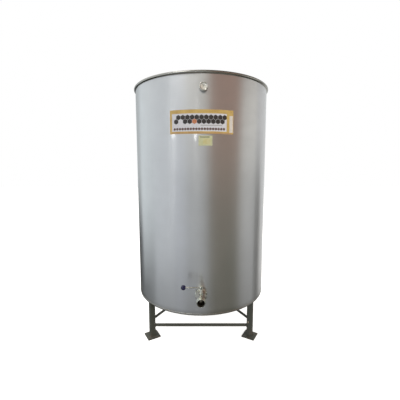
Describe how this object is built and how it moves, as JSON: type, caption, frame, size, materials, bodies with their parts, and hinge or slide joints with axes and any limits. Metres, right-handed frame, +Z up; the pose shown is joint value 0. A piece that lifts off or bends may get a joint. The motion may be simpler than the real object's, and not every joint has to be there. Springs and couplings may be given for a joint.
{
  "type": "honey maturing tank",
  "caption": "Open-topped, water-jacketed stainless honey tank on a welded steel leg stand, with a ball valve low at the front and a capped filler near the rim.",
  "frame": {"origin": "on the ground, under the middle of the footprint's box; the tank's own axis stands 64 mm behind it, because the valve reaches out in front", "axes": "+Z up, -Y out through the outlet valve, +X to the right for someone who faces the valve"},
  "size_m": [0.9764, 1.1044, 1.807],
  "materials": {
    "stainless_sheet": "cold-rolled stainless sheet with a faint vertical grain",
    "stainless_fitting": "turned and satin-polished stainless",
    "stand_steel": "dull dark grey-brown paint with welds showing",
    "knob_plastic": "moulded, dark navy blue",
    "label_film": "printed film in amber and silver-white, plain pattern",
    "small_label_film": "printed film, plain greenish yellow"
  },
  "bodies": {
    "tank": {"outer_wall": "stainless_sheet", "outer_wall_low": "stainless_sheet", "outer_wall_front": "stainless_sheet", "rim_bead": "stainless_sheet", "jacket_top_ring": "stainless_sheet", "vessel_wall": "stainless_sheet", "vessel_wall_low": "stainless_sheet", "vessel_wall_front": "stainless_sheet", "vessel_floor": "stainless_sheet", "jacket_floor": "stainless_sheet", "filler_neck": "stainless_fitting", "filler_cap": "stainless_fitting", "outlet_pipe": "stainless_fitting", "union_nut": "stainless_fitting", "valve_body": "stainless_fitting", "valve_spout": "stainless_fitting", "gland_nut": "stainless_fitting", "leg_left": "stand_steel", "leg_right": "stand_steel", "leg_back": "stand_steel", "foot_plate_left": "stand_steel", "foot_plate_right": "stand_steel", "foot_plate_back": "stand_steel", "low_rail_front": "stand_steel", "low_rail_left": "stand_steel", "low_rail_right": "stand_steel", "top_bar_front": "stand_steel", "top_bar_left": "stand_steel", "top_bar_right": "stand_steel", "label_panel": "label_film", "small_label": "small_label_film"},
    "lever": {"valve_ball": "stainless_fitting", "valve_stem": "stainless_fitting", "lever_hub": "stainless_fitting", "lever_rod": "stainless_fitting", "lever_knob": "knob_plastic"}
  },
  "joints": [
    {"name": "lever_turn", "type": "hinge", "parent": "tank", "child": "lever", "pos_m": [0, -0.50921, 0.466], "axis": [0, 0, 1], "range_deg": [0, 90]}
  ]
}
